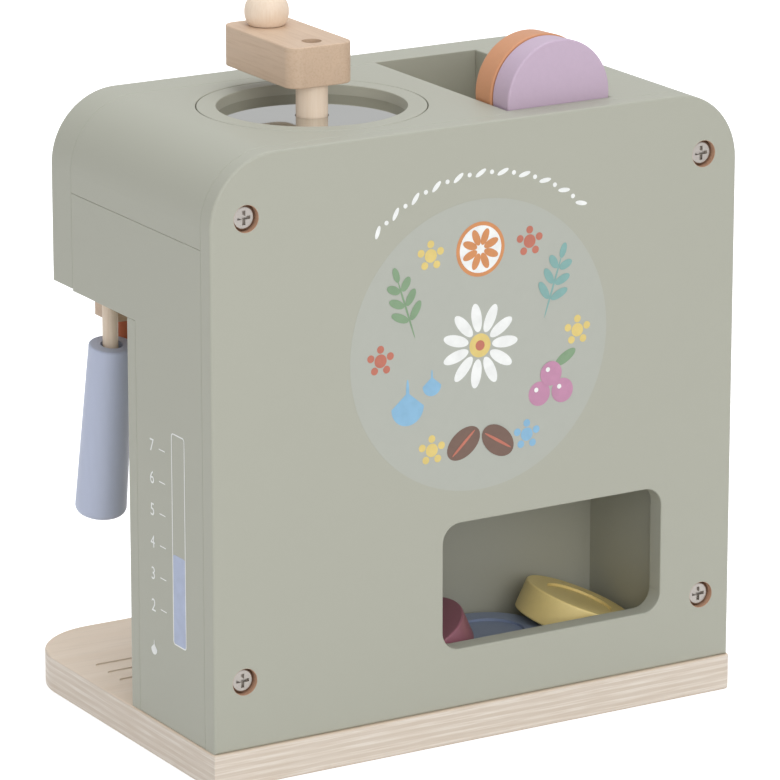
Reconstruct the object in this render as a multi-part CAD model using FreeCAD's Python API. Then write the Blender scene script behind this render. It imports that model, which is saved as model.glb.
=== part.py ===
# Toy coffee maker: a painted board case on a plywood base, with a grinder crank,
# a pod hopper, a pod window, a frother wand and a coffee outlet. Millimetres, +Z up.
# The menu face looks towards -Y and the serving side towards +Y.
# The origin is the centre of the underside of the base.
import FreeCAD
import Part
import math
import os

from FreeCAD import Vector

# Base plate
base_width = 230.0
base_depth = 160.0
base_thickness = 14.0
base_tray_corner = 30.0
base_menu_corner = 3.0
base_edge = 0.8
slot_count = 5
slot_pitch = 10.0
slot_width = 4.5
slot_depth = 0.5
slot_end_margin = 10.5
slot_front_gap = 46.0

# Case
case_inset = 1.0
menu_setback = 1.5
case_height = 240.0
case_corner = 27.3
menu_thickness = 7.5
wall = 8.0
board_edge = 1.0
seam_edge = 0.35
column_depth = 65.4
column_plate_thickness = 7.0
head_depth = 125.0
head_front_thickness = 16.4
head_drop = 73.5
head_front_lift = 0.9
seam_drop = 35.3

# Menu window and the compartment behind it
window_width = 97.9
window_height = 49.8
window_side_gap = 5.45
window_rise = 23.2
window_corner = 7.5
window_edge = 0.6
tray_floor_thickness = 3.0
tray_wall = 4.0
tray_width = 125.7
tray_headroom = 5.0

# Menu screws
screw_inset_x_top = 14.9
screw_inset_x_bottom = 12.9
screw_inset_top = 23.8
screw_inset_bottom = 26.4
counterbore_radius = 5.2
counterbore_depth = 4.2
screw_head_radius = 4.7
screw_head_height = 2.4
screw_radius = 1.8
screw_length = 26.0
cross_width = 1.3
cross_length = 5.4
cross_depth = 1.3
block_length = 25.0
block_width = 14.3
block_height = 18.0
base_screw_length = 38.0
base_screw_head_radius = 4.0
base_counterbore_radius = 4.4
base_counterbore_depth = 3.2

# Grinder
ring_x = -38.7
ring_menu_gap = 57.5
ring_outer_radius = 43.2
ring_inner_radius = 35.8
ring_lip = 4.0
ring_gap = 0.35
ring_edge = 0.4
pane_radius = 38.2
well_depth = 42.0
well_wall = 7.0
well_floor = 6.0
well_skirt_radius = 43.2

# Crank
shaft_radius = 6.05
shaft_running_clearance = 0.05
pane_hole_clearance = 0.3
shaft_rise = 8.6
arm_width = 27.6
arm_thickness = 15.7
arm_near_end = 9.0
arm_reach = 34.0
arm_end_margin = 11.2
arm_corner = 5.5
arm_edge = 0.6
arm_socket_depth = 9.0
arm_screw_hole_radius = 3.75
arm_screw_gap = 0.25
knob_radius = 8.5
knob_flat_drop = 5.0
knob_pin_radius = 3.0
knob_pin_depth = 11.0
knob_pin_rise = 9.0
knob_seat_gap = 0.2
collar_radius = 11.0
collar_height = 6.0
collar_gap = 0.3

# Pod hopper in the top
hopper_left = 18.8
hopper_width = 45.6
hopper_menu_gap = 11.7
hopper_edge = 0.5
hopper_depth = 20.7
hopper_wall = 4.0
hopper_floor_thickness = 5.0

# Pods
pod_radius = 22.4
pod_thickness = 12.1
pod_taper = 0.6
pod_edge = 0.8
pod_recess_radius = 13.5
pod_recess_depth = 1.0
pod_gap = 0.3
blue_tray_gap = 61.9
blue_setback = 33.5
yellow_tray_gap = 26.9
yellow_setback = 31.9
yellow_tilt = 21.5
yellow_turn = -14.8
burgundy_tray_gap = 95.1
burgundy_setback = 31.3
burgundy_tilt = 22.0

# Frother wand under the head
wand_side_gap = 4.8
wand_reach = 37.5
wand_dowel_radius = 3.0
wand_pivot_drop = 26.5
wand_dowel_tail = 4.0
wand_dowel_hold = 19.5
grip_top_rise = 5.6
grip_length = 70.5
grip_top_radius = 8.75
grip_bottom_radius = 10.0
grip_bore_radius = 4.3
grip_bore_depth = 14.0
grip_top_edge = 0.8
grip_bottom_edge = 3.0
grip_rest_tilt = 9.2
wand_pin_radius = 1.0
wand_pin_length = 14.0
wand_pin_end_gap = 0.3
pin_running_clearance = 0.05
wand_block_width = 14.0

# Coffee outlet under the head
outlet_side_gap = 8.5
outlet_width = 62.0
outlet_depth = 16.0
outlet_height = 14.5
outlet_edge = 1.5
nozzle_inset = 9.0
nozzle_radius = 5.0
nozzle_length = 20.0
nozzle_bore_radius = 2.2
nozzle_bore_depth = 8.0
nozzle_tenon_radius = 3.0
nozzle_tenon_length = 10.0
outlet_dowel_radius = 2.5
outlet_dowel_length = 22.0

# Selector dial on the serving side of the head
dial_x = 0.0
dial_drop = 36.0
dial_radius = 17.0
dial_thickness = 12.0
dial_gap = 0.3
dial_edge = 1.5
dial_mark_width = 2.2
dial_mark_depth = 1.0
axle_radius = 4.0
axle_running_clearance = 0.05
axle_head_radius = 8.0
axle_head_height = 3.0

# Places worked out from the sizes
case_half = base_width / 2 - case_inset
menu_face = -base_depth / 2 + menu_setback
menu_back = menu_face + menu_thickness
column_front = menu_face + column_depth
column_back = column_front - column_plate_thickness
head_front = menu_face + head_depth
head_inner = head_front - head_front_thickness
head_bottom = case_height - head_drop
seam = case_height - seam_drop
side_inner = case_half - wall
cover_inner_top = case_height - wall
tray_right = side_inner - block_width - tray_wall
tray_left = tray_right - tray_width
window_right = tray_right - window_side_gap
window_left = window_right - window_width
window_sill = base_thickness + window_rise
window_top = window_sill + window_height
tray_ceiling = window_top + tray_headroom
ring_y = menu_face + ring_menu_gap
arm_bottom = case_height + shaft_rise
arm_top = arm_bottom + arm_thickness
knob_y = ring_y + arm_reach
well_top = cover_inner_top
well_bottom = well_top - well_depth
hopper_right = hopper_left + hopper_width
hopper_near = menu_face + hopper_menu_gap
hopper_floor_top = case_height - hopper_depth
tray_floor_top = base_thickness + tray_floor_thickness
wand_x = wand_side_gap - side_inner
wand_y = column_front + wand_reach
wand_pivot_z = head_bottom - wand_pivot_drop
outlet_left = outlet_side_gap - side_inner
outlet_y = head_front - outlet_depth / 2 - outlet_edge
outlet_bottom = head_bottom - outlet_height
dial_height = case_height - dial_drop
tiny = 0.01

os.makedirs("parts", exist_ok=True)


def box(x0, x1, y0, y1, z0, z1):
    return Part.makeBox(x1 - x0, y1 - y0, z1 - z0, Vector(x0, y0, z0))


def rod(radius, x, y, z0, z1):
    return Part.makeCylinder(radius, z1 - z0, Vector(x, y, z0))


def rod_along_y(radius, x, z, y0, y1):
    return Part.makeCylinder(radius, y1 - y0, Vector(x, y0, z), Vector(0, 1, 0))


def rod_along_x(radius, y, z, x0, x1):
    return Part.makeCylinder(radius, x1 - x0, Vector(x0, y, z), Vector(1, 0, 0))


def join(shapes):
    whole = shapes[0]
    for shape in shapes[1:]:
        whole = whole.fuse(shape)
    return whole.removeSplitter()


def upright_edges(shape, axis):
    found = []
    for edge in shape.Edges:
        if len(edge.Vertexes) != 2:
            continue
        step = edge.Vertexes[1].Point.sub(edge.Vertexes[0].Point)
        if step.Length > tiny and abs(step.normalize().dot(axis)) > 0.999:
            found.append(edge)
    return found


def ring_edges_at(shape, z):
    found = []
    for edge in shape.Edges:
        bounds = edge.BoundBox
        if abs(bounds.ZMin - z) < tiny and abs(bounds.ZMax - z) < tiny:
            found.append(edge)
    return found


def edges_at_y(shape, y):
    """Edges that lie flat in the upright plane at y."""
    found = []
    for edge in shape.Edges:
        bounds = edge.BoundBox
        if abs(bounds.YMin - y) < tiny and abs(bounds.YMax - y) < tiny:
            found.append(edge)
    return found


def tombstone(half_width, z_bottom, z_top, radius, y0, y1):
    """Board with its two top corners rounded, as seen from the menu side."""
    plain = box(-half_width, half_width, y0, y1, z_bottom, z_top)
    corners = []
    for edge in upright_edges(plain, Vector(0, 1, 0)):
        if edge.BoundBox.ZMin > z_top - tiny:
            corners.append(edge)
    return plain.makeFillet(radius, corners)


def save(name, solids):
    shapes = solids if isinstance(solids, list) else [solids]
    shape = shapes[0] if len(shapes) == 1 else Part.makeCompound(shapes)
    for solid in shape.Solids:
        if not solid.isValid():
            print("not valid:", name)
    shape.exportStep("parts/" + name + ".step")
    print(name, len(shape.Solids), round(shape.Volume))


def screw_places():
    """Centres of the menu panel's screws, as (x, z)."""
    x_top = case_half - screw_inset_x_top
    x_bottom = case_half - screw_inset_x_bottom
    top = case_height - screw_inset_top
    bottom = base_thickness + screw_inset_bottom
    return [(-x_top, top), (x_top, top), (-x_bottom, bottom), (x_bottom, bottom)]


def base_screw_places():
    """Centres of the screws that come up through the base, as (x, y)."""
    side = case_half - wall / 2
    plate = column_front - column_plate_thickness / 2
    middle = (menu_back + column_back) / 2
    span = (column_back - menu_back) / 4
    places = []
    for x in (-side, side):
        for y in (middle - span, middle + span):
            places.append((x, y))
    for x in (-case_half / 2, case_half / 2):
        places.append((x, plate))
    return places


# Base: plywood with two big corners on the serving side and drip slots
def make_base():
    plate = box(-base_width / 2, base_width / 2, -base_depth / 2, base_depth / 2, 0, base_thickness)
    tray_corners = []
    for edge in upright_edges(plate, Vector(0, 0, 1)):
        if edge.BoundBox.YMin > 0:
            tray_corners.append(edge)
    plate = plate.makeFillet(base_tray_corner, tray_corners)
    menu_corners = []
    for edge in upright_edges(plate, Vector(0, 0, 1)):
        if edge.BoundBox.YMax < tiny - base_depth / 2 and edge.BoundBox.XMin > 0:
            menu_corners.append(edge)
    plate = plate.makeFillet(base_menu_corner, menu_corners)
    plate = plate.makeFillet(base_edge, ring_edges_at(plate, 0) + ring_edges_at(plate, base_thickness))
    slot_half = base_width / 2 - slot_end_margin - slot_width / 2
    slot_top = base_thickness + tiny
    for i in range(slot_count):
        y = base_depth / 2 - slot_front_gap - i * slot_pitch
        z = base_thickness - slot_depth
        run = box(-slot_half, slot_half, y - slot_width / 2, y + slot_width / 2, z, slot_top)
        ends = [rod(slot_width / 2, x, y, z, slot_top) for x in (-slot_half, slot_half)]
        plate = plate.cut(join([run] + ends))
    for x, y in base_screw_places():
        plate = plate.cut(rod(screw_radius, x, y, -tiny, base_thickness + tiny))
        plate = plate.cut(rod(base_counterbore_radius, x, y, -tiny, base_counterbore_depth))
    save("base_plate", plate)


# Menu panel: the flat board with the window and the counterbored screws
def make_menu_panel():
    panel = tombstone(case_half, base_thickness, case_height, case_corner, menu_face, menu_back)
    panel = panel.makeFillet(board_edge, edges_at_y(panel, menu_face))
    panel = panel.makeFillet(seam_edge, edges_at_y(panel, menu_back))
    window = box(window_left, window_right, menu_face - 1, menu_back + 1, window_sill, window_top)
    window = window.makeFillet(window_corner, upright_edges(window, Vector(0, 1, 0)))
    panel = panel.cut(window)
    rim = []
    for edge in edges_at_y(panel, menu_face):
        bounds = edge.BoundBox
        if bounds.XMin > window_left - tiny and bounds.XMax < window_right + tiny and bounds.ZMax < window_top + tiny:
            rim.append(edge)
    panel = panel.makeFillet(window_edge, rim)
    for x, z in screw_places():
        panel = panel.cut(rod_along_y(counterbore_radius, x, z, menu_face - 1, menu_face + counterbore_depth))
        panel = panel.cut(rod_along_y(screw_radius, x, z, menu_face, menu_back + 1))
    save("menu_panel", panel)


# Side panels: one L-shaped board each side, column and head in one
def make_side_panels():
    points = [
        (menu_back, base_thickness),
        (column_back, base_thickness),
        (column_back, head_bottom),
        (head_inner, head_bottom),
        (head_inner, seam),
        (menu_back, seam),
    ]
    for name, x in (("left_side_panel", -case_half), ("right_side_panel", side_inner)):
        corners = [Vector(x, y, z) for y, z in points]
        outline = Part.makePolygon(corners + corners[:1])
        panel = Part.Face(outline).extrude(Vector(wall, 0, 0))
        outer_x = case_half if x > 0 else -case_half
        outer_edges = []
        for edge in panel.Edges:
            if abs(edge.BoundBox.XMin - outer_x) < tiny and abs(edge.BoundBox.XMax - outer_x) < tiny:
                outer_edges.append(edge)
        panel = panel.makeFillet(seam_edge, outer_edges)
        for hole_x, hole_y in base_screw_places():
            if x - tiny < hole_x < x + wall + tiny:
                top = base_screw_length + screw_head_height
                panel = panel.cut(rod(screw_radius, hole_x, hole_y, base_thickness - 1, top))
        save(name, panel)


# Column front board and head boards
def make_column_front():
    plate = box(-case_half, case_half, column_back, column_front, base_thickness, head_bottom)
    plate = plate.makeFillet(board_edge, edges_at_y(plate, column_front))
    outer_seams = []
    for edge in upright_edges(plate, Vector(0, 0, 1)):
        if edge.BoundBox.YMax < column_back + tiny:
            outer_seams.append(edge)
    plate = plate.makeFillet(seam_edge, outer_seams)
    for x, y in base_screw_places():
        if y > column_back:
            plate = plate.cut(rod(screw_radius, x, y, base_thickness - 1, base_screw_length + screw_head_height))
    save("column_front_panel", plate)


def make_head_front():
    low = head_bottom + head_front_lift
    panel = tombstone(case_half, low, case_height, case_corner, head_inner, head_front)
    panel = panel.makeFillet(board_edge, edges_at_y(panel, head_front))
    panel = panel.makeFillet(seam_edge, edges_at_y(panel, head_inner))
    axle_hole = axle_radius + axle_running_clearance
    panel = panel.cut(rod_along_y(axle_hole, dial_x, dial_height, head_inner - 1, head_front + 1))
    for x in outlet_dowel_places():
        top = outlet_bottom + outlet_height / 2 + outlet_dowel_length
        panel = panel.cut(rod(outlet_dowel_radius, x, outlet_y, head_bottom, top))
    save("head_front_panel", panel)


def make_head_underside():
    board = box(-side_inner, side_inner, column_back, head_inner, head_bottom, head_bottom + wall)
    board = board.cut(rod(wand_dowel_radius, wand_x, wand_y, head_bottom - 1, head_bottom + wall + 1))
    save("head_underside_panel", board)


# Top cover: an arch over the case with the grinder hole and the hopper opening
def make_top_cover():
    outer = tombstone(case_half, seam, case_height, case_corner, menu_back, head_inner)
    seams = []
    for edge in edges_at_y(outer, menu_back) + edges_at_y(outer, head_inner):
        if edge.BoundBox.ZMax > seam + tiny:
            seams.append(edge)
    for edge in upright_edges(outer, Vector(0, 1, 0)):
        if edge.BoundBox.ZMax < seam + tiny:
            seams.append(edge)
    outer = outer.makeFillet(seam_edge, seams)
    inner = tombstone(side_inner, seam - 1, cover_inner_top, case_corner - wall, menu_back - 1, head_inner + 1)
    cover = outer.cut(inner)
    hole = ring_outer_radius + ring_gap
    cover = cover.cut(rod(hole, ring_x, ring_y, cover_inner_top - 1, case_height + 1))
    opening = box(hopper_left, hopper_right, hopper_near, head_inner + 1, cover_inner_top - 1, case_height + 1)
    cover = cover.cut(opening)
    ring_rim = []
    hopper_rim = []
    flat_half = case_half - case_corner
    for edge in ring_edges_at(cover, case_height):
        bounds = edge.BoundBox
        if bounds.XMin < -flat_half + tiny or bounds.XMax > flat_half - tiny:
            continue
        if bounds.XMax < hopper_left - tiny:
            ring_rim.append(edge)
        else:
            hopper_rim.append(edge)
    cover = cover.makeFillet(ring_edge, ring_rim)
    cover = cover.makeFillet(hopper_edge, hopper_rim)
    save("top_cover", cover)


# Blocks inside the corners that the menu screws bite into
def make_screw_blocks():
    inner = tombstone(side_inner, base_thickness, cover_inner_top, case_corner - wall, menu_back, head_inner)
    upper = []
    lower = []
    for x, z in screw_places():
        side = 1 if x > 0 else -1
        x_out = side * side_inner
        x_in = side * (side_inner - block_width)
        x0 = min(x_in, x_out)
        x1 = max(x_in, x_out)
        block = box(x0, x1, menu_back, menu_back + block_length, z - block_height / 2, z + block_height / 2)
        block = block.common(inner)
        block = block.cut(rod_along_y(screw_radius, x, z, menu_back - 1, menu_face + counterbore_depth + screw_length))
        if z > case_height / 2:
            upper.append(block.Solids[0])
        else:
            lower.append(block.Solids[0])
    save("upper_screw_blocks", upper)
    save("lower_screw_blocks", lower)


def cross_slot(x, y, z, axis):
    """Cutter for the cross recess of a screw head whose top is at x, y, z."""
    half = cross_length / 2
    arm = cross_width / 2
    if axis == "y":
        wide = box(x - half, x + half, y - 1, y + cross_depth, z - arm, z + arm)
        tall = box(x - arm, x + arm, y - 1, y + cross_depth, z - half, z + half)
    else:
        wide = box(x - half, x + half, y - arm, y + arm, z - 1, z + cross_depth)
        tall = box(x - arm, x + arm, y - half, y + half, z - 1, z + cross_depth)
    return join([wide, tall])


def make_menu_screws():
    screws = []
    seat = menu_face + counterbore_depth
    for x, z in screw_places():
        head = rod_along_y(screw_head_radius, x, z, seat - screw_head_height, seat)
        rim = []
        for edge in head.Edges:
            if edge.BoundBox.YMax < seat - screw_head_height + tiny and edge.BoundBox.XLength > screw_head_radius:
                rim.append(edge)
        head = head.makeFillet(screw_head_height * 0.4, rim)
        shank = rod_along_y(screw_radius, x, z, seat, seat + screw_length)
        screw = join([head, shank]).cut(cross_slot(x, seat - screw_head_height, z, "y"))
        screws.append(screw)
    save("menu_screws", screws)


def make_base_screws():
    screws = []
    seat = base_counterbore_depth
    for x, y in base_screw_places():
        head = rod(base_screw_head_radius, x, y, seat - screw_head_height, seat)
        shank = rod(screw_radius, x, y, seat, base_screw_length + screw_head_height)
        screw = join([head, shank]).cut(cross_slot(x, y, seat - screw_head_height, "z"))
        screws.append(screw)
    save("base_screws", screws)


# Compartment behind the window
def make_tray():
    inner_floor = box(tray_left, tray_right, menu_back, column_back, base_thickness, tray_floor_top)
    save("tray_floor", inner_floor)
    top = tray_ceiling + tray_wall
    save("tray_left_wall", box(tray_left - tray_wall, tray_left, menu_back, column_back, base_thickness, top))
    save("tray_right_wall", box(tray_right, tray_right + tray_wall, menu_back, column_back, base_thickness, top))
    save("tray_ceiling", box(tray_left, tray_right, menu_back, column_back, tray_ceiling, top))


# Pod hopper hung under the top cover
def make_hopper():
    bottom = hopper_floor_top - hopper_floor_thickness
    outer_left = hopper_left - hopper_wall
    outer_right = hopper_right + hopper_wall
    save("hopper_left_wall", box(outer_left, hopper_left, menu_back, head_inner, bottom, cover_inner_top))
    save("hopper_right_wall", box(hopper_right, outer_right, menu_back, head_inner, bottom, cover_inner_top))
    near = box(hopper_left, hopper_right, menu_back, hopper_near, bottom, cover_inner_top)
    save("hopper_near_wall", near)
    floor = box(hopper_left, hopper_right, hopper_near, head_inner, bottom, hopper_floor_top)
    save("hopper_floor", floor)


# Grinder: flush ring, clear pane and the well that carries the crank shaft
def make_grinder():
    ring = rod(ring_outer_radius, ring_x, ring_y, cover_inner_top, case_height)
    ring = ring.cut(rod(ring_inner_radius, ring_x, ring_y, cover_inner_top - 1, case_height + 1))
    ring = ring.makeFillet(ring_edge, ring_edges_at(ring, case_height))
    pane_top = case_height - ring_lip
    ring = ring.cut(rod(pane_radius, ring_x, ring_y, cover_inner_top - 1, pane_top))
    save("grinder_ring", ring)

    pane = rod(pane_radius, ring_x, ring_y, cover_inner_top, pane_top)
    hole = shaft_radius + pane_hole_clearance
    pane = pane.cut(rod(hole, ring_x, ring_y, cover_inner_top - 1, pane_top + 1))
    save("grinder_pane", pane)

    well_inner = well_skirt_radius - well_wall
    well = rod(well_skirt_radius, ring_x, ring_y, well_bottom, well_top)
    well = well.cut(rod(well_inner, ring_x, ring_y, well_bottom + well_floor, well_top + 1))
    bearing = shaft_radius + shaft_running_clearance
    well = well.cut(rod(bearing, ring_x, ring_y, well_bottom - 1, well_top))
    save("grinder_well", well)


# Crank: dowel shaft, block arm, knob and the collar that keeps the shaft in
def make_crank():
    collar_top = well_bottom - collar_gap
    collar_bottom = collar_top - collar_height
    shaft_top = arm_bottom + arm_socket_depth
    shaft = rod(shaft_radius, ring_x, ring_y, collar_bottom, shaft_top)
    save("crank_shaft", shaft)

    collar = rod(collar_radius, ring_x, ring_y, collar_bottom, collar_top)
    collar = collar.cut(rod(shaft_radius, ring_x, ring_y, collar_bottom - 1, collar_top + 1))
    save("crank_collar", collar)

    y0 = ring_y - arm_near_end
    y1 = knob_y + arm_end_margin
    x0 = ring_x - arm_width / 2
    arm = box(x0, x0 + arm_width, y0, y1, arm_bottom, arm_top)
    arm = arm.makeFillet(arm_corner, upright_edges(arm, Vector(0, 0, 1)))
    arm = arm.makeFillet(arm_edge, ring_edges_at(arm, arm_top) + ring_edges_at(arm, arm_bottom))
    arm = arm.cut(rod(shaft_radius, ring_x, ring_y, arm_bottom - 1, shaft_top))
    arm = arm.cut(rod(arm_screw_hole_radius, ring_x, ring_y, shaft_top - 1, arm_top + 1))
    arm = arm.cut(rod(knob_pin_radius, ring_x, knob_y, arm_top - knob_pin_depth, arm_top + 1))
    save("crank_arm", arm)

    screw_top = shaft_top + screw_head_height
    head = rod(arm_screw_hole_radius - arm_screw_gap, ring_x, ring_y, shaft_top, screw_top)
    save("crank_screw", head)

    pin_top = arm_top + knob_pin_rise
    save("knob_pin", rod(knob_pin_radius, ring_x, knob_y, arm_top - knob_pin_depth, pin_top))

    knob_z = arm_top + knob_seat_gap + knob_flat_drop
    knob = Part.makeSphere(knob_radius, Vector(ring_x, knob_y, knob_z))
    below = knob_z - knob_flat_drop
    cutter = rod(knob_radius + 1, ring_x, knob_y, below - knob_radius, below)
    knob = knob.cut(cutter)
    bore = knob_pin_radius + shaft_running_clearance
    knob = knob.cut(rod(bore, ring_x, knob_y, below - 1, pin_top + knob_seat_gap))
    save("crank_knob", knob)


# Pods: short tapered discs with a round recess in the marked face
def make_pod():
    """A pod standing on its plain face, centred on the Z axis."""
    pod = Part.makeCone(pod_radius, pod_radius - pod_taper, pod_thickness)
    pod = pod.makeFillet(pod_edge, ring_edges_at(pod, pod_thickness) + ring_edges_at(pod, 0))
    recess = rod(pod_recess_radius, 0, 0, pod_thickness - pod_recess_depth, pod_thickness + 1)
    return pod.cut(recess)


def moved(shape, x, y, z):
    placed = shape.copy()
    placed.translate(Vector(x, y, z))
    return placed


def leaning_pod(pod, x, setback, tilt, turn):
    """A pod on the compartment floor, tilted until it leans on its neighbour."""
    leaning = pod.copy()
    leaning.rotate(Vector(0, 0, 0), Vector(0, 1, 0), tilt)
    leaning.rotate(Vector(0, 0, 0), Vector(0, 0, 1), turn)
    drop = pod_radius * math.sin(math.radians(abs(tilt)))
    return moved(leaning, x, menu_face + setback, tray_floor_top + pod_gap + drop)


def make_pods():
    pod = make_pod()

    standing = pod.copy()
    standing.rotate(Vector(0, 0, 0), Vector(1, 0, 0), -90)
    middle_x = (hopper_left + hopper_right) / 2
    middle_z = hopper_floor_top + pod_radius + pod_gap
    lilac_face = hopper_near + pod_gap
    orange_face = lilac_face + pod_thickness + pod_gap
    save("pod_lilac", moved(standing, middle_x, lilac_face, middle_z))
    save("pod_orange", moved(standing, middle_x, orange_face, middle_z))

    save("pod_blue", leaning_pod(pod, tray_right - blue_tray_gap, blue_setback, 0, 0))
    yellow_x = tray_right - yellow_tray_gap
    save("pod_yellow", leaning_pod(pod, yellow_x, yellow_setback, yellow_tilt, yellow_turn))
    burgundy_x = tray_right - burgundy_tray_gap
    save("pod_burgundy", leaning_pod(pod, burgundy_x, burgundy_setback, -burgundy_tilt, 0))


# Frother wand: a fixed dowel and a grip that swings on a cross pin
def make_wand():
    low = wand_pivot_z - wand_dowel_tail
    high = head_bottom + wand_dowel_hold
    dowel = rod(wand_dowel_radius, wand_x, wand_y, low, high)
    dowel = dowel.cut(rod_along_x(wand_pin_radius, wand_y, wand_pivot_z, wand_x - 10, wand_x + 10))
    save("wand_dowel", dowel)

    half = wand_block_width / 2
    block = box(-side_inner, wand_x + half, head_inner - wand_block_width, head_inner, head_bottom + wall, high)
    block = block.cut(rod(wand_dowel_radius, wand_x, wand_y, head_bottom, high + 1))
    save("wand_block", block)

    pin_half = wand_pin_length / 2
    save("wand_pin", rod_along_x(wand_pin_radius, wand_y, wand_pivot_z, wand_x - pin_half, wand_x + pin_half))

    top = grip_top_rise
    bottom = top - grip_length
    place = Vector(0, 0, bottom)
    grip = Part.makeCone(grip_bottom_radius, grip_top_radius, grip_length, place)
    grip = grip.makeFillet(grip_top_edge, ring_edges_at(grip, top))
    grip = grip.makeFillet(grip_bottom_edge, ring_edges_at(grip, bottom))
    grip = grip.cut(rod(grip_bore_radius, 0, 0, top - grip_bore_depth, top + 1))
    hole = wand_pin_radius + pin_running_clearance
    grip = grip.cut(rod_along_x(hole, 0, 0, -pin_half - wand_pin_end_gap, grip_bottom_radius))
    grip.rotate(Vector(0, 0, 0), Vector(1, 0, 0), grip_rest_tilt)
    save("wand_grip", moved(grip, wand_x, wand_y, wand_pivot_z))


# Coffee outlet: a beech bar under the head with two painted nozzles
def nozzle_places():
    return [outlet_left + nozzle_inset, outlet_left + outlet_width - nozzle_inset]


def outlet_dowel_places():
    third = outlet_width / 3
    return [outlet_left + third, outlet_left + 2 * third]


def make_outlet():
    y0 = outlet_y - outlet_depth / 2
    y1 = outlet_y + outlet_depth / 2
    bar = box(outlet_left, outlet_left + outlet_width, y0, y1, outlet_bottom, head_bottom)
    bar = bar.makeFillet(outlet_edge, upright_edges(bar, Vector(0, 0, 1)))
    for x in nozzle_places():
        bar = bar.cut(rod(nozzle_tenon_radius, x, outlet_y, outlet_bottom - 1, outlet_bottom + nozzle_tenon_length))
    dowel_low = outlet_bottom + outlet_height / 2
    dowels = []
    for x in outlet_dowel_places():
        dowel = rod(outlet_dowel_radius, x, outlet_y, dowel_low, dowel_low + outlet_dowel_length)
        bar = bar.cut(dowel)
        dowels.append(dowel)
    save("outlet_bar", bar)
    save("outlet_dowels", dowels)

    nozzles = []
    for x in nozzle_places():
        low = outlet_bottom - nozzle_length
        barrel = rod(nozzle_radius, x, outlet_y, low, outlet_bottom)
        tenon = rod(nozzle_tenon_radius, x, outlet_y, outlet_bottom, outlet_bottom + nozzle_tenon_length)
        nozzle = join([barrel, tenon])
        nozzle = nozzle.cut(rod(nozzle_bore_radius, x, outlet_y, low - 1, low + nozzle_bore_depth))
        nozzles.append(nozzle)
    save("outlet_nozzles", nozzles)


# Selector dial: a beech disc on an axle through the head front board
def make_dial():
    back = head_front + dial_gap
    front = back + dial_thickness
    dial = rod_along_y(dial_radius, dial_x, dial_height, back, front)
    rim = []
    for edge in dial.Edges:
        if edge.BoundBox.YMin > front - tiny:
            rim.append(edge)
    dial = dial.makeFillet(dial_edge, rim)
    half = dial_mark_width / 2
    top = dial_height + dial_radius - 2 * dial_edge
    mark = box(dial_x - half, dial_x + half, front - dial_mark_depth, front + 1, dial_height + dial_edge, top)
    dial = dial.cut(mark)
    dial = dial.cut(rod_along_y(axle_radius, dial_x, dial_height, back - 1, front - dial_edge))
    save("selector_dial", dial)

    inside = head_inner - dial_gap
    axle = rod_along_y(axle_radius, dial_x, dial_height, inside, front - dial_edge)
    head = rod_along_y(axle_head_radius, dial_x, dial_height, inside - axle_head_height, inside)
    save("dial_axle", join([axle, head]))


make_base()
make_menu_panel()
make_side_panels()
make_column_front()
make_head_front()
make_head_underside()
make_top_cover()
make_screw_blocks()
make_menu_screws()
make_base_screws()
make_tray()
make_hopper()
make_grinder()
make_crank()
make_pods()
make_wand()
make_outlet()
make_dial()
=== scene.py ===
"""Looks of a wooden toy coffee maker: painted boards, plywood, beech, printed ink and light."""

import math

import bpy
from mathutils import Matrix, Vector


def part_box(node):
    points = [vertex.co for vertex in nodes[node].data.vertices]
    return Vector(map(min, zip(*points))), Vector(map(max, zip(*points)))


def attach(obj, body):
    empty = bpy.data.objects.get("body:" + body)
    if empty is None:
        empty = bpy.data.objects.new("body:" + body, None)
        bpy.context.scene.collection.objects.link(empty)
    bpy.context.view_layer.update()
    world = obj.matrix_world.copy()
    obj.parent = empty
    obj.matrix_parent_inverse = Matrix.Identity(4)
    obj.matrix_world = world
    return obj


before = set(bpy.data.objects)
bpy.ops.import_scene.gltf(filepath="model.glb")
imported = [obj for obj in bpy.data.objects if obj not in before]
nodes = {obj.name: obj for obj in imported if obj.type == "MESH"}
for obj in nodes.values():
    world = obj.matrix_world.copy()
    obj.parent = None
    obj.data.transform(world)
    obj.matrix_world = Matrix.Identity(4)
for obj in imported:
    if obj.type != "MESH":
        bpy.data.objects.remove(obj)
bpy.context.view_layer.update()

MM = 0.001

# Camera and picture
VIEW_AZIMUTH = -30.7
VIEW_ELEVATION = 15.99
VIEW_DISTANCE = 2.0164
VIEW_TARGET = Vector((0.0008, -0.0116, 0.1211))
FOCAL_PIXELS = 5241.8
IMAGE_PIXELS = 780
SENSOR = 36.0

# Lights and floor
KEY_POWER = 16.0
TOP_POWER = 14.5
SIDE_POWER = 0.6
BACK_POWER = 6.0
SKY_STRENGTH = 0.62
FLOOR_GLOW = 0.6
FLOOR_SIZE = 12.0
LIGHT_AIM = Vector((0, 0, 0.12))

# Refractive index that the finishes share
SURFACE_IOR = 1.5

# Layers of the plywood's edge, millimetres
PLY_THICKNESS = 1.4
PLY_WANDER = 0.9

# Colours of the boards, wood and metal, sRGB
SAGE = "AAAA9C"
PLY_FACE = "DAC6B0"
PLY_FACE_PALE = "E2D1BE"
PLY_LIGHT = "E6DCD0"
PLY_DARK = "C9B9A7"
BEECH = "D0B59B"
BEECH_DARK = "B59476"
PALE_WOOD = "F0DCC6"
PALE_WOOD_DARK = "DFC4A6"
RAW_BOARD = "C39A7E"
PANE = "D2D2CD"
STEEL = "ADA7A1"
GRIP = "B6BDD2"
TERRACOTTA = "B8643C"
LILAC = "C1ABBF"
ORANGE = "CD9067"
BURGUNDY = "965F6C"
STEEL_BLUE = "8895B0"
YELLOW = "EAD38C"

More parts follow.
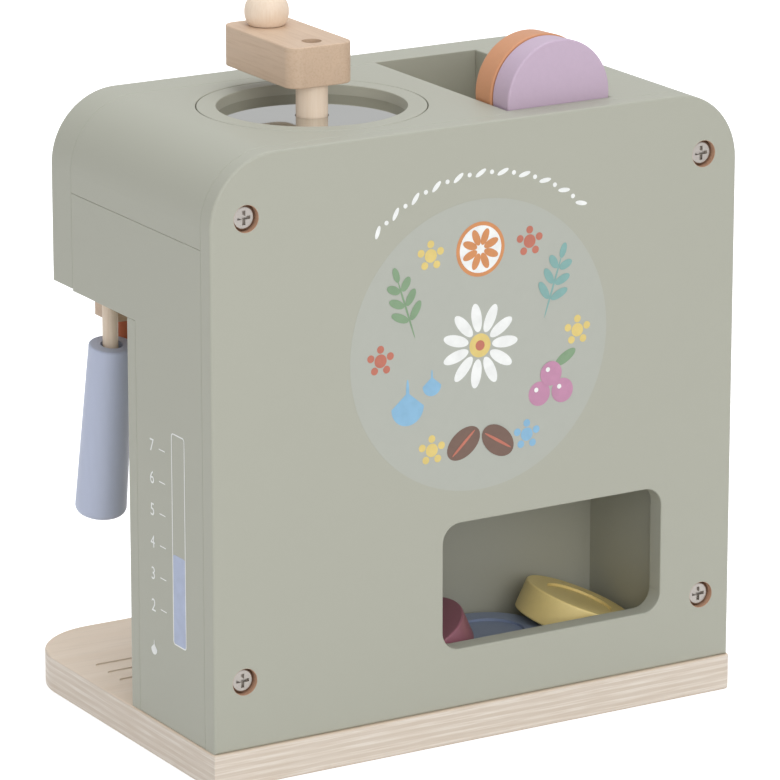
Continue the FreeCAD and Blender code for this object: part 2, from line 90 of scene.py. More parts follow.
# Colours of the printed inks, sRGB
INKS = {
    "white": "EEEFEC",
    "blue": "A9B3CD",
    "pale": "AEB0A6",
    "teal": "7FA9A4",
    "orange": "CF8A55",
    "pink": "BE86A4",
    "yellow": "DDC576",
    "clay": "BC6E5A",
    "brown": "6F5549",
    "sky": "86B4D2",
    "green": "7E9A78",
}

# Printed pattern on the menu face, millimetres on the board
PATCH_X = 0.0
PATCH_Z = 155.0
PATCH_RADIUS = 56.0
WREATH_RADIUS = 37.0
ARC_RADIUS = 66.0
ARC_STEPS = 21
ARC_START = 48.0
ARC_PITCH = 4.2
LEAF_SLANT = 60.0
FLOWER_RADIUS = 16.5
FLOWER_PETALS = 11
SLICE_RADIUS = 10.5
SLICE_SEGMENTS = 8
SPRIG_LENGTH = 25.0
BERRY_RADIUS = 8.5
BEAN_RADIUS = 8.0
BLOSSOMS = [(60, "clay"), (120, "yellow"), (0, "yellow"), (180, "clay"), (241, "yellow"), (299, "sky")]
BLOSSOM_SHIFT = 6.0
BLOSSOM_HEART = 2.6
BLOSSOM_PETALS = 5
BLOSSOM_REACH = 4.4
BLOSSOM_PETAL = 1.5
INK_MOTTLE = 0.07
EVEN_MOTTLE = 0.01
FILM = 0.04
FILM_STEP = 0.06

# Printed gauge on the left side board
GAUGE_Y = -52.4
GAUGE_LOW = 48.4
GAUGE_HIGH = 130.5
GAUGE_WIDTH = 10.2
GAUGE_LEVEL = 83.9
GAUGE_LINE = 0.5
GAUGE_CORNER = 1.5
NUMBER_Y = -32.0
FIRST_NUMBER = 2
NUMBERS = 6
NUMBER_LOW = 59.1
NUMBER_PITCH = 12.5
NUMBER_HEIGHT = 5.0
TICK_Y = -39.9
TICK_LENGTH = 4.6
TICK_LINE = 0.4
MARK_DROP = 17.0
MARK_RADIUS = 2.3
TEXT_SIZE_PER_HEIGHT = 1.4

# Bare walls of the screws' counterbores
BORE_RADIUS = 5.19
BORE_DEPTH = 4.15
BORE_LINING = 0.08
BORE_SINK = 0.03
HEAD_RADIUS = 4.7
HEAD_LAP = 0.3
MIDDLE_HEIGHT = 120.0

# Printed dots around the dial
DIAL_DOTS = 9
DIAL_DOT_RADIUS = 1.1
DIAL_RING = 22.5
DIAL_SWEEP = 270.0


def linear(code):
    """sRGB hex code to a linear colour."""
    out = []
    for i in (0, 2, 4):
        c = int(code[i:i + 2], 16) / 255
        out.append(c / 12.92 if c <= 0.04045 else ((c + 0.055) / 1.055) ** 2.4)
    return (*out, 1.0)


def shade(code, factor):
    """The same colour, lighter or darker."""
    r, g, b, a = linear(code)
    return (r * factor, g * factor, b * factor, a)


def per_mm(size):
    """Texture scale at which one feature is this many millimetres wide."""
    return 1 / (size * MM)


def add(tree, kind, links=None, **settings):
    """Adds a node with its settings and its links."""
    node = tree.nodes.new(kind)
    for key, value in settings.items():
        if hasattr(node, key):
            setattr(node, key, value)
        else:
            node.inputs[key.replace("_", " ")].default_value = value
    for socket, source in (links or {}).items():
        if isinstance(source, bpy.types.NodeSocket):
            tree.links.new(source, node.inputs[socket])
        else:
            node.inputs[socket].default_value = source
    return node


def start_material(name, roughness, metallic=0.0):
    mat = bpy.data.materials.new(name)
    mat.use_nodes = True
    shader = mat.node_tree.nodes["Principled BSDF"]
    shader.inputs["Roughness"].default_value = roughness
    shader.inputs["IOR"].default_value = SURFACE_IOR
    shader.inputs["Metallic"].default_value = metallic
    return mat, mat.node_tree, shader


def board_paint(name, code, roughness):
    """Water-based paint rolled on fibreboard: matt, with faint orange peel and a slow drift of tone."""
    mat, tree, shader = start_material(name, roughness)
    place = add(tree, "ShaderNodeTexCoord").outputs["Object"]
    drift = add(tree, "ShaderNodeTexNoise", {"Vector": place}, Scale=per_mm(70), Detail=2.0)
    peel = add(tree, "ShaderNodeTexNoise", {"Vector": place}, Scale=per_mm(1.4), Detail=2.0)
    slow = add(tree, "ShaderNodeMix", {0: drift.outputs["Fac"], 6: shade(code, 0.98), 7: shade(code, 1.02)},
               data_type="RGBA")
    tone = add(tree, "ShaderNodeMix", {0: peel.outputs["Fac"], 6: slow.outputs[2], 7: shade(code, 1.015)},
               data_type="RGBA")
    tree.links.new(tone.outputs[2], shader.inputs["Base Color"])
    bump = add(tree, "ShaderNodeBump", {"Height": peel.outputs["Fac"]}, Distance=0.02 * MM, Strength=0.5)
    tree.links.new(bump.outputs["Normal"], shader.inputs["Normal"])
    return mat


def dipped_wood(name, code, roughness, upright=0.1):
    """Satin paint dipped over turned wood: a little of the grain still shows through the film."""
    mat, tree, shader = start_material(name, roughness)
    place = add(tree, "ShaderNodeTexCoord").outputs["Object"]
    along = add(tree, "ShaderNodeMapping", {"Vector": place, "Scale": (1, 1, upright)})
    grain = add(tree, "ShaderNodeTexNoise", {"Vector": along.outputs["Vector"]}, Scale=per_mm(2), Detail=3.0)
    tone = add(tree, "ShaderNodeMix", {0: grain.outputs["Fac"], 6: shade(code, 0.965), 7: shade(code, 1.035)},
               data_type="RGBA")
    tree.links.new(tone.outputs[2], shader.inputs["Base Color"])
    bump = add(tree, "ShaderNodeBump", {"Height": grain.outputs["Fac"]}, Distance=0.04 * MM, Strength=0.5)
    tree.links.new(bump.outputs["Normal"], shader.inputs["Normal"])
    return mat


def sanded_wood(name, light, dark, along, fleck):
    """Sanded hardwood under clear oil: long soft grain, and the short dark flecks that beech has."""
    mat, tree, shader = start_material(name, 0.48)
    place = add(tree, "ShaderNodeTexCoord").outputs["Object"]
    long_scale = [1.0, 1.0, 1.0]
    long_scale["XYZ".index(along)] = 0.05
    fleck_scale = [1.0, 1.0, 1.0]
    fleck_scale["XYZ".index(along)] = 0.25
    long_way = add(tree, "ShaderNodeMapping", {"Vector": place, "Scale": long_scale}).outputs["Vector"]
    fleck_way = add(tree, "ShaderNodeMapping", {"Vector": place, "Scale": fleck_scale}).outputs["Vector"]
    broad = add(tree, "ShaderNodeTexNoise", {"Vector": long_way}, Scale=per_mm(6), Detail=2.0).outputs["Fac"]
    fine = add(tree, "ShaderNodeTexNoise", {"Vector": long_way}, Scale=per_mm(0.8), Detail=4.0).outputs["Fac"]
    marks = add(tree, "ShaderNodeTexNoise", {"Vector": fleck_way}, Scale=per_mm(0.6)).outputs["Fac"]
    broad_part = add(tree, "ShaderNodeMapRange", {"Value": broad, "From Min": 0.35, "From Max": 0.65})
    fine_part = add(tree, "ShaderNodeMapRange", {
        "Value": fine, "From Min": 0.45, "From Max": 0.9, "To Max": 0.6})
    fleck_part = add(tree, "ShaderNodeMapRange", {
        "Value": marks, "From Min": 0.68, "From Max": 0.8, "To Max": fleck})
    base = add(tree, "ShaderNodeMix", {
        0: broad_part.outputs["Result"], 6: linear(light), 7: shade(light, 0.95)}, data_type="RGBA")
    grained = add(tree, "ShaderNodeMix", {
        0: fine_part.outputs["Result"], 6: base.outputs[2], 7: linear(dark)}, data_type="RGBA")
    flecked = add(tree, "ShaderNodeMix", {
        0: fleck_part.outputs["Result"], 6: grained.outputs[2], 7: linear(dark)}, data_type="RGBA")
    tree.links.new(flecked.outputs[2], shader.inputs["Base Color"])
    bump = add(tree, "ShaderNodeBump", {"Height": fine}, Distance=0.03 * MM, Strength=0.4)
    tree.links.new(bump.outputs["Normal"], shader.inputs["Normal"])
    return mat


def birch_plywood():
    """Birch plywood, sanded: a pale rotary-cut face, and thin plies along the edge in close tones."""
    mat, tree, shader = start_material("birch_plywood", 0.5)
    place = add(tree, "ShaderNodeTexCoord").outputs["Object"]

    # Face veneer: broad soft figure and fine lines along the length
    face_way = add(tree, "ShaderNodeMapping", {"Vector": place, "Scale": (0.07, 1, 1)}).outputs["Vector"]
    figure = add(tree, "ShaderNodeTexNoise", {"Vector": face_way}, Scale=per_mm(14), Distortion=0.7)
    lines = add(tree, "ShaderNodeTexNoise", {"Vector": face_way}, Scale=per_mm(1.2), Detail=4.0)
    figure_part = add(tree, "ShaderNodeMapRange", {
        "Value": figure.outputs["Fac"], "From Min": 0.3, "From Max": 0.7})
    lines_part = add(tree, "ShaderNodeMapRange", {
        "Value": lines.outputs["Fac"], "From Min": 0.5, "From Max": 0.9, "To Max": 0.5})
    figured = add(tree, "ShaderNodeMix", {
        0: figure_part.outputs["Result"], 6: linear(PLY_FACE), 7: linear(PLY_FACE_PALE)}, data_type="RGBA")
    face = add(tree, "ShaderNodeMix", {
        0: lines_part.outputs["Result"], 6: figured.outputs[2], 7: linear(PLY_DARK)}, data_type="RGBA")

    # Edge: plies that wander a little, with wisps of grain inside each
    wander = add(tree, "ShaderNodeTexNoise", {"Vector": place}, Scale=per_mm(30), Detail=1.0)
    parts = add(tree, "ShaderNodeSeparateXYZ", {"Vector": place})
    sway = add(tree, "ShaderNodeMath", {0: wander.outputs["Fac"], 1: PLY_WANDER * MM}, operation="MULTIPLY")
    height = add(tree, "ShaderNodeMath", {0: parts.outputs["Z"], 1: sway.outputs[0]}, operation="ADD")
    turns = add(tree, "ShaderNodeMath", {
        0: height.outputs[0], 1: math.pi * per_mm(PLY_THICKNESS)}, operation="MULTIPLY")
    wave = add(tree, "ShaderNodeMath", {0: turns.outputs[0]}, operation="SINE")
    ply = add(tree, "ShaderNodeMapRange", {
        "Value": wave.outputs[0], "From Min": -0.4, "From Max": 0.4, "To Max": 0.55})
    wisp_way = add(tree, "ShaderNodeMapping", {"Vector": place, "Scale": (0.05, 0.05, 1.6)})
    wisps = add(tree, "ShaderNodeTexNoise", {"Vector": wisp_way.outputs["Vector"]},
                Scale=per_mm(1.0), Detail=3.0, Distortion=0.3)
    wisp_part = add(tree, "ShaderNodeMapRange", {
        "Value": wisps.outputs["Fac"], "From Min": 0.35, "From Max": 0.7, "To Max": 0.8})
    layered = add(tree, "ShaderNodeMix", {
        0: ply.outputs["Result"], 6: linear(PLY_LIGHT), 7: linear(PLY_DARK)}, data_type="RGBA")
    edge = add(tree, "ShaderNodeMix", {
        0: wisp_part.outputs["Result"], 6: layered.outputs[2], 7: shade(PLY_DARK, 1.06)}, data_type="RGBA")

    facing = add(tree, "ShaderNodeNewGeometry")
    normal = add(tree, "ShaderNodeSeparateXYZ", {"Vector": facing.outputs["True Normal"]})
    level = add(tree, "ShaderNodeMath", {0: normal.outputs["Z"]}, operation="ABSOLUTE")
    which = add(tree, "ShaderNodeMapRange", {"Value": level.outputs[0], "From Min": 0.6, "From Max": 0.9})
    colour = add(tree, "ShaderNodeMix", {
        0: which.outputs["Result"], 6: edge.outputs[2], 7: face.outputs[2]}, data_type="RGBA")
    tree.links.new(colour.outputs[2], shader.inputs["Base Color"])
    bump = add(tree, "ShaderNodeBump", {"Height": wisps.outputs["Fac"]}, Distance=0.05 * MM, Strength=0.4)
    tree.links.new(bump.outputs["Normal"], shader.inputs["Normal"])
    return mat


def mirror_acrylic():
    """Mirrored grey acrylic: it gives back the ring, the shaft and the arm, a shade darker."""
    mat, tree, shader = start_material("mirrored_acrylic", 0.04, metallic=1.0)
    place = add(tree, "ShaderNodeTexCoord").outputs["Object"]
    haze = add(tree, "ShaderNodeTexNoise", {"Vector": place}, Scale=per_mm(25), Detail=1.0)
    tone = add(tree, "ShaderNodeMix", {0: haze.outputs["Fac"], 6: shade(PANE, 0.97), 7: shade(PANE, 1.03)},
               data_type="RGBA")
    tree.links.new(tone.outputs[2], shader.inputs["Base Color"])
    return mat


def zinc_steel():
    """Zinc-plated steel: bright, with fine tumbling marks that break up the highlight."""
    mat, tree, shader = start_material("zinc_plated_steel", 0.3, metallic=1.0)
    place = add(tree, "ShaderNodeTexCoord").outputs["Object"]
    marks = add(tree, "ShaderNodeTexNoise", {"Vector": place}, Scale=per_mm(0.5), Detail=3.0)
    tone = add(tree, "ShaderNodeMix", {0: marks.outputs["Fac"], 6: shade(STEEL, 1.05), 7: shade(STEEL, 0.8)},
               data_type="RGBA")
    tree.links.new(tone.outputs[2], shader.inputs["Base Color"])
    return mat


def printed_ink(name, code, mottle):
    """Screen-printed ink: an even satin film, in which a water-colour mottle keeps the shapes soft."""
    mat, tree, shader = start_material(name, 0.42)
    place = add(tree, "ShaderNodeTexCoord").outputs["Object"]
    cloud = add(tree, "ShaderNodeTexNoise", {"Vector": place}, Scale=per_mm(4), Detail=3.0)
    part = add(tree, "ShaderNodeMapRange", {"Value": cloud.outputs["Fac"], "From Min": 0.3, "From Max": 0.7})
    dark = shade(code, 1 - mottle)
    light = shade(code, 1 + mottle / 2)
    tone = add(tree, "ShaderNodeMix", {0: part.outputs["Result"], 6: dark, 7: light}, data_type="RGBA")
    tree.links.new(tone.outputs[2], shader.inputs["Base Color"])
    return mat


sage_paint = board_paint("sage_board_paint", SAGE, 0.5)
raw_board = board_paint("raw_fibreboard", RAW_BOARD, 0.8)
plywood = birch_plywood()
beech_y = sanded_wood("oiled_beech_along_y", BEECH, BEECH_DARK, "Y", 0.5)
beech_x = sanded_wood("oiled_beech_along_x", BEECH, BEECH_DARK, "X", 0.5)
pale_z = sanded_wood("pale_dowel_upright", PALE_WOOD, PALE_WOOD_DARK, "Z", 0.2)
pale_y = sanded_wood("pale_dowel_along_y", PALE_WOOD, PALE_WOOD_DARK, "Y", 0.2)
pane_mirror = mirror_acrylic()
screw_steel = zinc_steel()
grip_paint = dipped_wood("blue_grey_dipped_wood", GRIP, 0.45)
terracotta_paint = dipped_wood("terracotta_dipped_wood", TERRACOTTA, 0.42)
lilac_paint = dipped_wood("lilac_dipped_wood", LILAC, 0.42, 1.0)
orange_paint = dipped_wood("orange_dipped_wood", ORANGE, 0.42, 1.0)
burgundy_paint = dipped_wood("burgundy_dipped_wood", BURGUNDY, 0.38, 1.0)
blue_paint = dipped_wood("steel_blue_dipped_wood", STEEL_BLUE, 0.42, 1.0)
yellow_paint = dipped_wood("yellow_dipped_wood", YELLOW, 0.42, 1.0)
ink = {}
for name, code in INKS.items():
    mottle = EVEN_MOTTLE if name == "pale" else INK_MOTTLE
    ink[name] = printed_ink(name + "_ink", code, mottle)

finishes = [
    (sage_paint, [
        "menu_panel", "left_side_panel", "right_side_panel", "column_front_panel", "head_front_panel",
        "head_underside_panel", "top_cover", "tray_floor", "tray_left_wall", "tray_right_wall",
        "tray_ceiling", "hopper_left_wall", "hopper_right_wall", "hopper_near_wall", "hopper_floor",
        "grinder_ring", "grinder_well",
    ]),
    (plywood, ["base_plate"]),
    (beech_y, ["crank_arm", "wand_block", "selector_dial"]),
    (beech_x, ["outlet_bar"]),
    (pale_z, ["crank_shaft", "crank_collar", "knob_pin", "crank_knob", "wand_dowel", "outlet_dowels"]),
    (pale_y, ["dial_axle"]),
    (raw_board, ["upper_screw_blocks", "lower_screw_blocks"]),
    (pane_mirror, ["grinder_pane"]),
    (screw_steel, ["menu_screws", "base_screws", "crank_screw", "wand_pin"]),
    (grip_paint, ["wand_grip"]),
    (terracotta_paint, ["outlet_nozzles"]),
    (lilac_paint, ["pod_lilac"]),
    (orange_paint, ["pod_orange"]),
    (burgundy_paint, ["pod_burgundy"]),
    (blue_paint, ["pod_blue"]),
    (yellow_paint, ["pod_yellow"]),
]
for material, names in finishes:
    for name in names:
        data = nodes[name].data
        data.materials.clear()
        data.materials.append(material)


def select_only(obj):
    bpy.ops.object.select_all(action="DESELECT")
    obj.select_set(True)
    bpy.context.view_layer.objects.active = obj


def ink_film(obj, layer):
    """Gives a flat shape the thickness of an ink film and lifts it to its layer."""
    select_only(obj)
    film = obj.modifiers.new("film", "SOLIDIFY")
    film.thickness = FILM * MM
    film.offset = 1.0
    bpy.ops.object.modifier_apply(modifier=film.name)
    obj.location.z = layer * FILM_STEP * MM
    bpy.ops.object.transform_apply(location=True, rotation=True, scale=True)
    return obj


def blot(x, y, long_radius, short_radius=None, turn=0.0, layer=1, corners=32):
    """A round or oval spot of ink, in millimetres on the board."""
    bpy.ops.object.select_all(action="DESELECT")
    bpy.ops.mesh.primitive_circle_add(
        vertices=corners, radius=MM, fill_type="NGON",
        location=(x * MM, y * MM, 0), rotation=(0, 0, math.radians(turn)),
    )
    obj = bpy.context.object
    obj.scale = (long_radius, short_radius or long_radius, 1)
    bpy.ops.object.transform_apply(location=True, rotation=True, scale=True)
    return ink_film(obj, layer)


def drop(x, y, radius, layer=1):
    """A spot whose top is drawn out to a point."""
    bpy.ops.object.select_all(action="DESELECT")
    bpy.ops.mesh.primitive_circle_add(vertices=32, radius=radius * MM, fill_type="NGON")
    obj = bpy.context.object
    bpy.ops.object.mode_set(mode="EDIT")
    bpy.ops.mesh.select_all(action="DESELECT")
    bpy.ops.object.mode_set(mode="OBJECT")
    for level, narrowing in ((0.1, 0.92), (0.4, 0.82), (0.7, 0.7), (0.95, 0.2)):
        for v in obj.data.vertices:
            v.select = v.co.y > level * radius * MM
        bpy.ops.object.mode_set(mode="EDIT")
        bpy.ops.transform.resize(value=(narrowing, 1, 1), center_override=(0, 0, 0))
        bpy.ops.transform.translate(value=(0, 0.14 * radius * MM, 0))
        bpy.ops.object.mode_set(mode="OBJECT")
    obj.location = (x * MM, y * MM, 0)
    return ink_film(obj, layer)


def strip(x, y, width, height, layer=1, corner=0.0, line=0.0):
    """A straight mark, with rounded corners where asked, and hollow where it has a line width."""
    bpy.ops.object.select_all(action="DESELECT")
    bpy.ops.mesh.primitive_plane_add(size=MM, location=(x * MM, y * MM, 0))
    obj = bpy.context.object
    obj.scale = (width, height, 1)
    bpy.ops.object.transform_apply(location=True, rotation=True, scale=True)
    bpy.ops.object.mode_set(mode="EDIT")
    bpy.ops.mesh.select_all(action="SELECT")
    if corner:
        bpy.ops.mesh.bevel(offset=corner * MM, segments=6, affect="VERTICES")
    if line:
        bpy.ops.mesh.select_all(action="SELECT")
        bpy.ops.mesh.inset(thickness=line * MM)
        bpy.ops.mesh.delete(type="FACE")
    bpy.ops.object.mode_set(mode="OBJECT")
    return ink_film(obj, layer)


def numeral(text, x, y, height):
    bpy.ops.object.select_all(action="DESELECT")
    bpy.ops.object.text_add()
    obj = bpy.context.object
    obj.data.body = text
    obj.data.size = height * MM * TEXT_SIZE_PER_HEIGHT
    obj.data.align_x = "CENTER"
    obj.data.align_y = "CENTER"
    bpy.ops.object.convert(target="MESH")
    obj = bpy.context.object
    obj.location = (x * MM, y * MM, 0)
    return ink_film(obj, 1)


def print_on_board(name, colour, pieces, turn, place):
    """Joins the shapes of one ink and stands them on a board of the case."""
    bpy.ops.object.select_all(action="DESELECT")
    for piece in pieces:
        piece.select_set(True)
    bpy.context.view_layer.objects.active = pieces[0]
    if len(pieces) > 1:
        bpy.ops.object.join()
    obj = bpy.context.object
    obj.name = name
    obj.data.materials.clear()
    obj.data.materials.append(ink[colour])
    obj.rotation_euler = [math.radians(a) for a in turn]
    obj.location = place
    bpy.ops.object.transform_apply(location=True, rotation=True, scale=True)
    bpy.ops.object.mode_set(mode="EDIT")
    bpy.ops.mesh.select_all(action="SELECT")
    bpy.ops.mesh.normals_make_consistent(inside=False)
    bpy.ops.object.mode_set(mode="OBJECT")
    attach(obj, "case")


# Menu face: a pale round patch with a wreath of plain garden motifs around a flower
drawing = {name: [] for name in INKS}


def on_wreath(angle, radius=WREATH_RADIUS):
    turn = math.radians(angle)
    return PATCH_X + radius * math.cos(turn), PATCH_Z + radius * math.sin(turn)


def draw_flower(x, y, radius, petals):
    for i in range(petals):
        turn = 360 * i / petals
        reach = 0.66 * radius
        cx = x + reach * math.cos(math.radians(turn))
        cy = y + reach * math.sin(math.radians(turn))
        drawing["white"].append(blot(cx, cy, 0.34 * radius, 0.135 * radius, turn))
    drawing["yellow"].append(blot(x, y, 0.28 * radius))
    drawing["clay"].append(blot(x, y, 0.12 * radius, layer=2))


def draw_sprig(x, y, length, turn, colour):
    ux = math.cos(math.radians(turn))
    uy = math.sin(math.radians(turn))
    drawing[colour].append(blot(x, y, length / 2, 0.4, turn))
    for i, along in enumerate((-0.22, 0.02, 0.26)):
        for side in (-1, 1):
            leaf_turn = turn + side * 48
            leaf = 0.16 - 0.02 * i
            reach = (leaf + 0.03) * length
            cx = x + ux * along * length + reach * math.cos(math.radians(leaf_turn))
            cy = y + uy * along * length + reach * math.sin(math.radians(leaf_turn))
            drawing[colour].append(blot(cx, cy, leaf * length, 0.065 * length, leaf_turn, 2))
    tip_x = x + ux * length * 0.56
    tip_y = y + uy * length * 0.56
    drawing[colour].append(blot(tip_x, tip_y, 0.12 * length, 0.055 * length, turn, 2))


def draw_slice(x, y, radius, segments):
    drawing["orange"].append(blot(x, y, radius, corners=48))
    drawing["white"].append(blot(x, y, 0.86 * radius, layer=2, corners=48))
    for i in range(segments):
        turn = 360 * (i + 0.5) / segments
        cx = x + 0.47 * radius * math.cos(math.radians(turn))
        cy = y + 0.47 * radius * math.sin(math.radians(turn))
        drawing["orange"].append(blot(cx, cy, 0.31 * radius, 0.145 * radius, turn, 3))


def draw_berries(x, y, radius):
    for layer, (dx, dy) in enumerate(((-0.6, -0.35), (0.6, -0.35), (0.0, 0.5))):
        cx = x + dx * radius
        cy = y + dy * radius
        drawing["pink"].append(blot(cx, cy, 0.56 * radius, layer=layer + 1))
        shine_x = cx - 0.17 * radius
        shine_y = cy + 0.2 * radius
        drawing["white"].append(blot(shine_x, shine_y, 0.11 * radius, layer=4, corners=16))
    drawing["green"].append(blot(x + 0.75 * radius, y + 1.15 * radius, 0.6 * radius, 0.24 * radius, 30))


def draw_bean(x, y, radius, turn, layer):
    drawing["brown"].append(blot(x, y, radius, 0.66 * radius, turn, layer))
    drawing["clay"].append(blot(x, y, 0.85 * radius, 0.07 * radius, turn + 8, layer + 1))


drawing["pale"].append(blot(PATCH_X, PATCH_Z, PATCH_RADIUS, layer=0, corners=96))
draw_flower(PATCH_X, PATCH_Z, FLOWER_RADIUS, FLOWER_PETALS)
draw_slice(*on_wreath(90), SLICE_RADIUS, SLICE_SEGMENTS)
draw_sprig(*on_wreath(30), SPRIG_LENGTH, 72.0, "teal")
draw_berries(*on_wreath(328), BERRY_RADIUS)
bean_x, bean_z = on_wreath(270)
draw_bean(bean_x - 7, bean_z, BEAN_RADIUS, 35, 1)
draw_bean(bean_x + 8, bean_z - 1, BEAN_RADIUS, -40, 3)
drop_x, drop_z = on_wreath(212)
drawing["sky"].append(drop(drop_x, drop_z, 7.0))
drawing["sky"].append(drop(drop_x + 10.5, drop_z + 7, 4.0))
draw_sprig(*on_wreath(150), SPRIG_LENGTH, 108.0, "green")
for angle, colour in BLOSSOMS:
    x, z = on_wreath(angle, WREATH_RADIUS + BLOSSOM_SHIFT)
    drawing[colour].append(blot(x, z, BLOSSOM_HEART))
    for i in range(BLOSSOM_PETALS):
        turn = math.radians(90 + 360 / BLOSSOM_PETALS * i)
        petal_x = x + BLOSSOM_REACH * math.cos(turn)
        petal_z = z + BLOSSOM_REACH * math.sin(turn)
        drawing[colour].append(blot(petal_x, petal_z, BLOSSOM_PETAL, layer=1, corners=16))

# An arc of small leaves and dots above the patch
for i in range(ARC_STEPS):
    angle = ARC_START + ARC_PITCH * i
    x, z = on_wreath(angle, ARC_RADIUS)
    if i % 2:
        drawing["white"].append(blot(x, z, 0.9, corners=16))
    else:
        drawing["white"].append(blot(x, z, 2.6, 0.9, angle - LEAF_SLANT, corners=20))

menu_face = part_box("menu_panel")[0].y
for colour, pieces in drawing.items():
    if pieces:
        print_on_board("menu_print_" + colour, colour, pieces, (90, 0, 0), (0, menu_face, 0))

# Gauge on the left side board: a hollow tube, its blue fill, ticks and plain numbers.
# On this board the drawing's x runs towards the menu face.
side_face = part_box("left_side_panel")[0].x
gauge_middle = (GAUGE_LOW + GAUGE_HIGH) / 2
gauge = [strip(-GAUGE_Y, gauge_middle, GAUGE_WIDTH, GAUGE_HIGH - GAUGE_LOW, 1, GAUGE_CORNER, GAUGE_LINE)]
for i in range(NUMBERS):
    z = NUMBER_LOW + i * NUMBER_PITCH
    gauge.append(numeral(str(FIRST_NUMBER + i), -NUMBER_Y, z, NUMBER_HEIGHT))
    gauge.append(strip(-TICK_Y, z, TICK_LENGTH, TICK_LINE))
gauge.append(drop(-NUMBER_Y, NUMBER_LOW - MARK_DROP, MARK_RADIUS))
print_on_board("gauge_lines", "white", gauge, (90, 0, -90), (side_face, 0, 0))

fill_middle = (GAUGE_LOW + GAUGE_LEVEL) / 2
fill_width = GAUGE_WIDTH - GAUGE_LINE
fill_height = GAUGE_LEVEL - GAUGE_LOW - GAUGE_LINE
fill = strip(-GAUGE_Y, fill_middle, fill_width, fill_height, 0, GAUGE_CORNER)
print_on_board("gauge_fill", "blue", [fill], (90, 0, -90), (side_face, 0, 0))

# Dots around the dial on the serving side, from its lowest to its highest setting
dial_low, dial_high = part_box("selector_dial")
dial_x = (dial_low.x + dial_high.x) / 2 / MM
dial_z = (dial_low.z + dial_high.z) / 2 / MM
head_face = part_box("head_front_panel")[1].y
dots = []
for i in range(DIAL_DOTS):
    turn = math.radians(90 - DIAL_SWEEP / 2 + DIAL_SWEEP * i / (DIAL_DOTS - 1))
    dot_x = -dial_x + DIAL_RING * math.cos(turn)
    dot_z = dial_z + DIAL_RING * math.sin(turn)
    dots.append(blot(dot_x, dot_z, DIAL_DOT_RADIUS))
print_on_board("dial_dots", "white", dots, (90, 0, 180), (0, head_face, 0))


# Counterbore linings: the bare board that the drill left, as a thin cup around each screw head
def bore_lining(name, x, z):
    bpy.ops.object.select_all(action="DESELECT")
    bpy.ops.mesh.primitive_cylinder_add(
        vertices=64, radius=BORE_RADIUS * MM, depth=BORE_DEPTH * MM, end_fill_type="NGON",
        location=(x, menu_face + (BORE_DEPTH / 2 + BORE_SINK) * MM, z), rotation=(math.radians(90), 0, 0),
    )
    cup = bpy.context.object
    bpy.ops.object.transform_apply(location=True, rotation=True, scale=True)
    bpy.ops.object.mode_set(mode="EDIT")
    bpy.ops.mesh.select_all(action="DESELECT")
    bpy.ops.mesh.select_mode(type="FACE")
    bpy.ops.object.mode_set(mode="OBJECT")
    for face in cup.data.polygons:
        face.select = face.normal.y < -0.9
    bpy.ops.object.mode_set(mode="EDIT")
    bpy.ops.mesh.delete(type="FACE")
    bpy.ops.object.mode_set(mode="OBJECT")
    for face in cup.data.polygons:
        face.select = face.normal.y > 0.9
    bpy.ops.object.mode_set(mode="EDIT")
    bpy.ops.mesh.inset(thickness=(BORE_RADIUS - HEAD_RADIUS + HEAD_LAP) * MM)
    bpy.ops.mesh.delete(type="FACE")
    bpy.ops.object.mode_set(mode="OBJECT")
    lining = cup.modifiers.new("lining", "SOLIDIFY")
    lining.thickness = BORE_LINING * MM
    lining.offset = -1.0
    bpy.ops.object.modifier_apply(modifier=lining.name)
    bpy.ops.object.shade_smooth_by_angle(angle=math.radians(40))
    cup.name = name
    cup.data.materials.append(raw_board)
    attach(cup, "case")


def screw_centres():
    """Centres of the four screw heads in the menu face, from the screws' own meshes."""
    corners = {}
    for v in nodes["menu_screws"].data.vertices:
        corners.setdefault((v.co.x > 0, v.co.z > MIDDLE_HEIGHT * MM), []).append(v.co)
    centres = []
    for points in corners.values():
        xs = [p.x for p in points]
        zs = [p.z for p in points]
        centres.append(((min(xs) + max(xs)) / 2, (min(zs) + max(zs)) / 2))
    return centres


for i, (x, z) in enumerate(screw_centres()):
    bore_lining(f"counterbore_lining_{i + 1}", x, z)


# Studio
def make_floor():
    """Pale floor: seen by the camera and in reflections as white, it still takes the object's shadow."""
    bpy.ops.object.select_all(action="DESELECT")
    bpy.ops.mesh.primitive_plane_add(size=FLOOR_SIZE)
    floor = bpy.context.object
    floor.name = "floor"
    mat, tree, shader = start_material("pale_floor", 0.9)
    shader.inputs["Base Color"].default_value = (0.8, 0.8, 0.8, 1)
    shader.inputs["Specular IOR Level"].default_value = 0.0
    path = add(tree, "ShaderNodeLightPath")
    direct = add(tree, "ShaderNodeMath", {0: path.outputs["Is Camera Ray"], 1: path.outputs["Is Glossy Ray"]},
                 operation="MAXIMUM")
    seen = add(tree, "ShaderNodeMath", {0: direct.outputs[0], 1: path.outputs["Is Transmission Ray"]},
               operation="MAXIMUM")
    glow = add(tree, "ShaderNodeMath", {0: seen.outputs[0], 1: FLOOR_GLOW}, operation="MULTIPLY")
    light = add(tree, "ShaderNodeEmission", {"Strength": glow.outputs[0]})
    total = add(tree, "ShaderNodeAddShader", {0: shader.outputs["BSDF"], 1: light.outputs["Emission"]})
    tree.links.new(total.outputs["Shader"], tree.nodes["Material Output"].inputs["Surface"])
    floor.data.materials.append(mat)


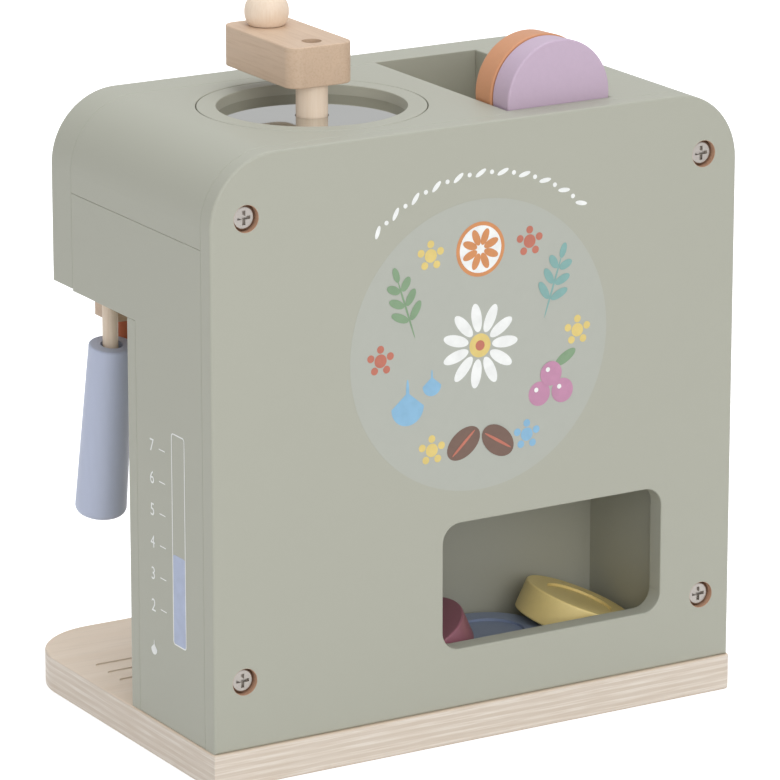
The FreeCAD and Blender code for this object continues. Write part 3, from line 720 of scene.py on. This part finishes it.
def make_sky():
    world = bpy.data.worlds.new("studio")
    bpy.context.scene.world = world
    world.use_nodes = True
    tree = world.node_tree
    sky = tree.nodes["Background"]
    sky.inputs["Color"].default_value = (0.97, 0.98, 1.0, 1)
    sky.inputs["Strength"].default_value = SKY_STRENGTH
    path = add(tree, "ShaderNodeLightPath")
    white = add(tree, "ShaderNodeBackground", {"Color": (1, 1, 1, 1), "Strength": 1.0})
    pick = add(tree, "ShaderNodeMixShader", {
        0: path.outputs["Is Camera Ray"], 1: sky.outputs["Background"], 2: white.outputs["Background"]})
    tree.links.new(pick.outputs["Shader"], tree.nodes["World Output"].inputs["Surface"])


def soft_box(name, place, width, height, power, colour=(1, 1, 1), mirrored=True):
    """Area light aimed at the part; one that is not mirrored lights it but shows in no reflection."""
    lamp = bpy.data.lights.new(name, "AREA")
    lamp.shape = "RECTANGLE"
    lamp.size = width
    lamp.size_y = height
    lamp.energy = power
    lamp.color = colour
    obj = bpy.data.objects.new(name, lamp)
    bpy.context.scene.collection.objects.link(obj)
    obj.location = place
    aim = LIGHT_AIM - Vector(place)
    obj.rotation_euler = aim.to_track_quat("-Z", "Y").to_euler()
    obj.visible_glossy = mirrored


def make_camera():
    data = bpy.data.cameras.new("camera")
    data.sensor_width = SENSOR
    data.lens = FOCAL_PIXELS / IMAGE_PIXELS * SENSOR
    data.clip_end = 20
    camera = bpy.data.objects.new("camera", data)
    bpy.context.scene.collection.objects.link(camera)
    azimuth = math.radians(VIEW_AZIMUTH)
    elevation = math.radians(VIEW_ELEVATION)
    forward = Vector((
        -math.sin(azimuth) * math.cos(elevation),
        math.cos(azimuth) * math.cos(elevation),
        -math.sin(elevation),
    ))
    camera.location = VIEW_TARGET - forward * VIEW_DISTANCE
    camera.rotation_euler = forward.to_track_quat("-Z", "Y").to_euler()
    bpy.context.scene.camera = camera


make_floor()
make_sky()
soft_box("front_light", (-0.5, -1.9, 0.9), 1.4, 1.2, KEY_POWER)
soft_box("top_light", (0.2, 0.1, 1.8), 1.6, 1.6, TOP_POWER, (0.94, 0.97, 1.0))
soft_box("side_light", (-1.9, 0.1, 0.6), 1.0, 1.0, SIDE_POWER)
soft_box("back_light", (0.5, 1.9, 0.9), 1.2, 1.0, BACK_POWER, mirrored=False)
make_camera()
bpy.context.scene.view_settings.view_transform = "Standard"
